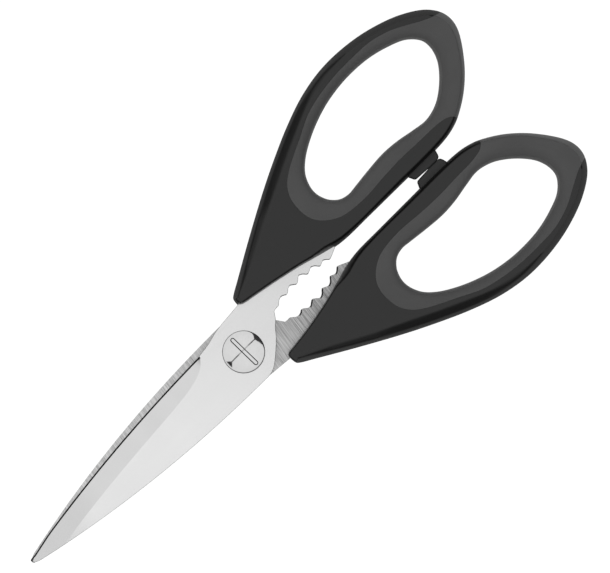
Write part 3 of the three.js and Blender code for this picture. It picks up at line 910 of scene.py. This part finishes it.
def plain_metal(name, value, rough, spread=0.03):
    """Metal with an even fine grain, whose grey spreads this far to both sides."""
    surface = Surface(name, 1.0)
    grain = surface.noise((900, 900, 900), detail=3)
    surface.grey(surface.ranged(grain, value - spread, value + spread))
    surface.roughness(surface.ranged(grain, rough * 0.85, rough * 1.15))
    surface.relief(grain, 0.05, GRAIN_HIGH)
    return surface.material


def moulded(name, value, rough, texture, relief, **sockets):
    """Moulded plastic or rubber with a fine eroded texture."""
    surface = Surface(name, 0.0, **sockets)
    fine = surface.noise((texture, texture, texture), detail=3)
    cloud = surface.noise((70, 70, 70), seed=7)
    tone = surface.ranged(fine, value * 0.9, value * 1.1)
    surface.grey(surface.sum(tone, surface.ranged(cloud, -value * 0.06, value * 0.06)))
    surface.roughness(surface.ranged(fine, rough * 0.9, rough * 1.1))
    surface.relief(fine, relief, TEXTURE_HIGH)
    return surface.material


# ---- Studio -------------------------------------------------------------------------------------

# The camera looks straight down. The place that it looks at and the width that it sees at the
# pivot's height are in millimetres, and its distance and the floor are in metres.
AXIS_TURN = 0.004
VIEW_AT = (28.24, 1.03)
VIEW_WIDTH = 192.6
VIEW_DISTANCE = 1.4
SENSOR_WIDTH = 36

FLOOR_HALF = 1.5
FLOOR_BELOW = 0.0005
FLOOR_GREY = 0.11
FLOOR_GLOW = 0.18

# The dome's light, and the angles from straight up between which each part of it fades.
RIM_LIGHT = 0.1
REAR_LIGHT = 0.5
CAP_LIGHT = 0.88
CAP_ANGLES = (60.5, 46.5)
CAP_LEAN = 0.09
CROWN_LIGHT = 0.06
CROWN_ANGLES = (50, 15)

# The boom, as slopes from straight up, along X and along Y. Its stands are at its near end, towards
# +X, and at its far end. The middle of its length is lighter.
LOWEST = 0.05
NEAR_STAND = 0.725
NEAR_SWING = -1.05
NEAR_SPREAD = 2.55
FAR_STAND = -0.71
FAR_SPREAD = 0.8
FAR_END = -0.92
BOOM_ACROSS = 0.06
BOOM_EDGE = (0.01, 0.034)
BOOM_MIDDLE = 0.05
BOOM_FADE = (0.18, 0.36)
BOOM_LIGHT = (0.55, 0.05)


def camera():
    data = bpy.data.cameras.new("camera")
    data.sensor_width = SENSOR_WIDTH
    data.lens = SENSOR_WIDTH * VIEW_DISTANCE / (VIEW_WIDTH * MM)
    data.clip_start = 0.05
    data.clip_end = 20
    along = Vector((1, AXIS_TURN, 0)).normalized()
    across = Vector((-AXIS_TURN, 1, 0)).normalized()
    right = (along - across).normalized()
    up = (along + across).normalized()
    back = right.cross(up)
    at = PIVOT + Vector((VIEW_AT[0] * MM, VIEW_AT[1] * MM, 0))
    obj = bpy.data.objects.new("camera", data)
    turned = Matrix((right, up, back)).transposed().to_4x4()
    obj.matrix_world = Matrix.Translation(at + back * VIEW_DISTANCE) @ turned
    bpy.context.scene.collection.objects.link(obj)
    bpy.context.scene.camera = obj


def floor():
    """A pale floor. The camera sees it white, and it lights the shears from below only a little."""
    mesh = bpy.data.meshes.new("floor")
    signs = ((-1, -1), (1, -1), (1, 1), (-1, 1))
    mesh.from_pydata([(FLOOR_HALF * x, FLOOR_HALF * y, 0) for x, y in signs], [], [(0, 1, 2, 3)])
    material = bpy.data.materials.new("floor")
    material.use_nodes = True
    tree = material.node_tree
    shader = tree.nodes["Principled BSDF"]
    shader.inputs["Base Color"].default_value = (FLOOR_GREY, FLOOR_GREY, FLOOR_GREY, 1)
    shader.inputs["Roughness"].default_value = 0.9
    shader.inputs["Emission Color"].default_value = (1, 1, 1, 1)
    seen = tree.nodes.new("ShaderNodeLightPath").outputs["Is Camera Ray"]
    glow = map_range(tree, seen, 0.0, 1.0, FLOOR_GLOW, 1.0)
    tree.links.new(glow, shader.inputs["Emission Strength"])
    mesh.materials.append(material)
    obj = bpy.data.objects.new("floor", mesh)
    obj.location.z = -FLOOR_BELOW
    bpy.context.scene.collection.objects.link(obj)


def world():
    """A soft dome: bright overhead, dark in a ring above the horizon, with a dark boom across."""
    new = bpy.data.worlds.new("studio")
    bpy.context.scene.world = new
    new.use_nodes = True
    tree = new.node_tree
    background = tree.nodes["Background"]
    background.inputs["Color"].default_value = (1, 1, 1, 1)
    direction = tree.nodes.new("ShaderNodeTexCoord").outputs["Generated"]
    split = new_node(tree, "ShaderNodeSeparateXYZ", {"Vector": direction})
    x, y, z = (split.outputs[axis] for axis in "XYZ")

    def op(operation, *values):
        return math_node(tree, operation, *values)

    def step(value, start, end, low, high):
        return map_range(tree, value, start, end, low, high, curve="SMOOTHSTEP")

    def overhead(value, angles, light):
        start, end = (math.cos(math.radians(angle)) for angle in angles)
        return step(value, start, end, 0.0, light)

    # The dome fades towards its rim. Low down it is lighter behind the handles.
    rear = step(op("MULTIPLY_ADD", z, -2.0, x), 0.0, 0.5, 0.0, REAR_LIGHT)
    cap = overhead(op("MULTIPLY_ADD", y, CAP_LEAN, z), CAP_ANGLES, CAP_LIGHT)
    crown = overhead(z, CROWN_ANGLES, CROWN_LIGHT)
    dome = op("ADD", op("ADD", rear, RIM_LIGHT), op("ADD", cap, crown))

    # A dark boom crosses the dome above the shears and widens where it meets its stands.
    height = op("MAXIMUM", z, LOWEST)
    along = op("DIVIDE", x, height)
    across = op("DIVIDE", y, height)
    near = op("MAXIMUM", op("SUBTRACT", along, NEAR_STAND), 0.0)
    far = op("MAXIMUM", op("SUBTRACT", FAR_STAND, along), 0.0)
    middle = op("MULTIPLY_ADD", near, NEAR_SWING, BOOM_ACROSS)
    wide = op("MULTIPLY_ADD", near, NEAR_SPREAD, op("MULTIPLY", far, FAR_SPREAD))
    beside = op("SUBTRACT", op("ABSOLUTE", op("SUBTRACT", across, middle)), wide)
    off = op("MAXIMUM", beside, op("SUBTRACT", FAR_END, along))
    from_middle = op("ABSOLUTE", op("SUBTRACT", along, BOOM_MIDDLE))
    tone = step(from_middle, *BOOM_FADE, *BOOM_LIGHT)
    clear = step(off, *BOOM_EDGE, 0.0, 1.0)
    boom = op("MULTIPLY_ADD", clear, op("SUBTRACT", 1.0, tone), tone)

    # The camera itself sees plain white.
    seen = tree.nodes.new("ShaderNodeLightPath").outputs["Is Camera Ray"]
    light = op("MULTIPLY", dome, boom)
    mixed = new_node(tree, "ShaderNodeMix", {"Factor": seen, "A": light, "B": 1.0})
    tree.links.new(mixed.outputs["Result"], background.inputs["Strength"])
    bpy.context.scene.view_settings.view_transform = "Standard"


# ---- Assembly -----------------------------------------------------------------------------------

camera()
floor()
world()

# Painted shading on the blades: the outer and bevel steel are darker near the point (painted
# shade), and the inner steel is lighter up to one place along X (painted light).
outer_steel = steel("satin_steel", ((60, 5200, 60), 0.0), (0.80, 0.69, 0.015),
                    added=(-0.13, -0.096, -0.082))
bevel_steel = steel("bevel_steel", ((900, 90, 90), 0.0), (0.675, 0.69, 0.012),
                    added=(-0.04, -0.085, -0.076), cloud_scale=(120, 20, 20))
cross_grain = ((6200, 110, 110), math.radians(-8.5))
inner_steel = steel("cross_ground_steel", cross_grain, (0.45, 0.33, 0.21),
                    added=(0.08, -0.006, 0.012), cloud_scale=(700, 60, 60), cloud_depth=0.02,
                    rough=(0.26, 0.34), relief=0.2)
# The cutting edge's micro-bevel is painted near black: painted shade standing in for the dark
# reflection and shadow along the edge.
painted_dark_edge_steel = plain_metal("painted_dark_edge", 0.05, 0.35, spread=0.02)
stamped_steel = plain_metal("stamped_side", 0.65, 0.3)
pivot_steel = plain_metal("turned_steel", 0.66, 0.06, spread=0.015)
# The slot's walls are painted dark: painted shade in the recess.
slot_shade_steel = plain_metal("slot_wall_painted_shade", 0.06, 0.3, spread=0.02)
spring_steel = plain_metal("spring_steel", 0.45, 0.35)
nylon = moulded("nylon", 0.7, 0.5, 2500, 0.1)
hard_shell = moulded("hard_shell", 0.004, 0.4, 3000, 0.1)
soft_grip = moulded("soft_grip", 0.105, 0.85, 4000, 0.25, Specular_IOR_Level=0.3, Sheen_Weight=0.35)
buffer_rubber = moulded("buffer_rubber", 0.018, 0.6, 2500, 0.2)

blades([outer_steel, bevel_steel, inner_steel, painted_dark_edge_steel, stamped_steel])
handles(hard_shell, soft_grip)
small_pieces(pivot_steel, slot_shade_steel, spring_steel, nylon, buffer_rubber)
